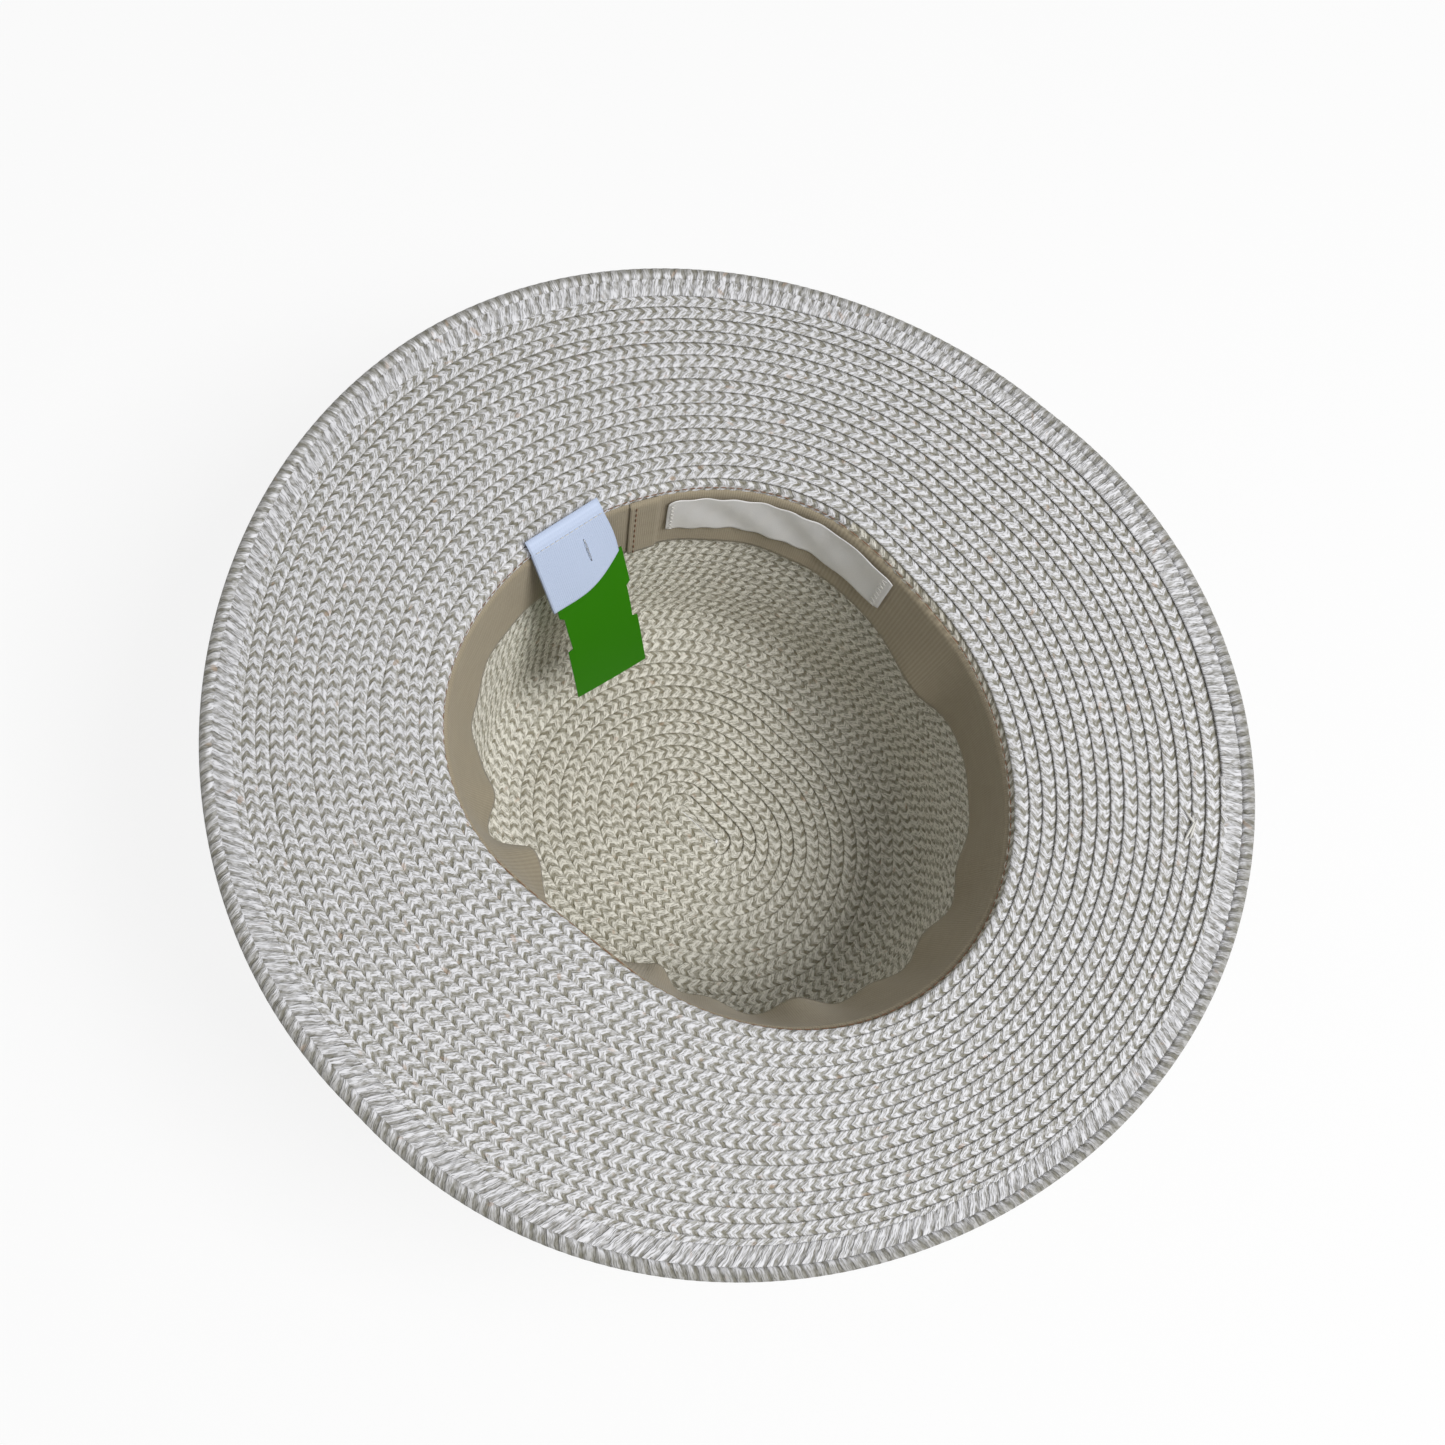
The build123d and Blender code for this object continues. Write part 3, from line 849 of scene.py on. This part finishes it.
BACK = -4.25 * MM
strands = [
    (on_tag(0, 0, 0.9 * MM), on_tag(0, 0, -1.8 * MM)),
    (on_tag(0, -0.2 * MM, -1.8 * MM), on_tag(0, STRAND + 0.2 * MM, -1.8 * MM)),
    (on_tag(0, STRAND, -1.7 * MM), on_tag(0, STRAND, BACK)),
    (on_tag(-4.5 * MM, STRAND, BACK), on_tag(4.5 * MM, STRAND, BACK)),
    (on_tag(-0.5 * MM, -4.5 * MM, 0.95 * MM), on_tag(0.6 * MM, 5.5 * MM, 0.95 * MM)),
]
starts, ends = zip(*strands)
stitch_run("nylon_pin", starts, ends, 0.45 * MM, NYLON, "clear_plastic", "tag", "tag_fastener")
print("labels and tag made")

# %% [markdown]
# ## Floor, light and camera
# The hat lies on a pale floor. One soft light from the wearer's front shows the shingled rows, and
# a white surround fills the shadows. The camera looks down into the crown.

# %% Splice
splice_angle = math.radians(-54.5)
splice = []
for start, end in (((-9, -1.6), (-2, 1.4)), ((-8, 0.2), (-1, 2.2)), ((2, -2.0), (-3, 1.8))):
    for along, across in (start, end):
        place = np.array([splice_angle + along * MM / 0.15])
        turn, base = turned(place)
        splice.append(oval(np.array([out_at(0.1455) + across * MM]), turn, base, np.array([1.35 * MM]))[0])
stitch_run("splice_ends", splice[0::2], splice[1::2], 0.45 * MM, WHITE_THREAD, "braid", "hat", "brim_splice")

# %% Stage
def seen_directly(k):
    """1 for rays that show the background: from the camera, mirrored or through something clear."""
    path = k.add("ShaderNodeLightPath").outputs
    mirrored = k.math("MAXIMUM", path["Is Glossy Ray"], path["Is Transmission Ray"])
    return k.math("MAXIMUM", path["Is Camera Ray"], mirrored)


def floor_paint():
    """A white floor that is mostly its own plain white where it is seen, so a soft shadow stays."""
    mat, tree, skin = new_material("floor")
    k = Nodes(tree)
    skin.inputs["Base Color"].default_value = (0.9, 0.9, 0.9, 1)
    skin.inputs["Roughness"].default_value = 0.9
    glow = k.add("ShaderNodeEmission")
    both = k.add("ShaderNodeMixShader")
    k.put(both.inputs[0], k.math("MULTIPLY", seen_directly(k), 0.86))
    k.put(both.inputs[1], skin.outputs[0])
    k.put(both.inputs[2], glow.outputs[0])
    k.put(tree.nodes["Material Output"].inputs[0], both.outputs[0])
    return mat


bpy.ops.object.select_all(action="DESELECT")
bpy.ops.mesh.primitive_plane_add(size=8, location=(0, 0, 0))
floor = bpy.context.object
floor.name = "floor"
floor.data.materials.append(floor_paint())

world = bpy.data.worlds.new("surround")
bpy.context.scene.world = world
world.use_nodes = True
k = Nodes(world.node_tree)
backdrop = world.node_tree.nodes["Background"]
backdrop.inputs["Color"].default_value = (1, 1, 1, 1)
k.put(backdrop.inputs["Strength"], k.math("MULTIPLY_ADD", seen_directly(k), 0.67, 0.33))

key = bpy.data.objects.new("key", bpy.data.lights.new("key", "AREA"))
bpy.context.scene.collection.objects.link(key)
key.data.energy = 28.5
key.data.size = 0.9
key.location = (0.25, -0.95, 1.75)
key.rotation_euler = (Vector((0, 0, 0.08)) - key.location).to_track_quat("-Z", "Y").to_euler()

AIM = Vector((1.0 * MM, 8.7 * MM, HEAD_Z))
AZIMUTH, ELEVATION, ROLL = math.radians(-69.8), math.radians(69.5), math.radians(23.5)
DISTANCE, LENS = 0.6, 45.3
back = Vector(
    (
        math.sin(AZIMUTH) * math.cos(ELEVATION),
        -math.cos(AZIMUTH) * math.cos(ELEVATION),
        math.sin(ELEVATION),
    )
)
level = Vector((0, 0, 1)).cross(back).normalized()
upright = back.cross(level)
right_way = level * math.cos(ROLL) + upright * math.sin(ROLL)
up_way = upright * math.cos(ROLL) - level * math.sin(ROLL)
camera = bpy.data.objects.new("camera", bpy.data.cameras.new("camera"))
bpy.context.scene.collection.objects.link(camera)
turn_matrix = Matrix((right_way, up_way, back)).transposed().to_4x4()
camera.matrix_world = Matrix.Translation(AIM + back * DISTANCE) @ turn_matrix
camera.data.lens, camera.data.sensor_width = LENS, 36
camera.data.clip_start = 0.01
bpy.context.scene.camera = camera
bpy.context.scene.view_settings.view_transform = "Standard"
bpy.context.scene.view_settings.look = "None"

# %% Finish
bpy.context.view_layer.update()
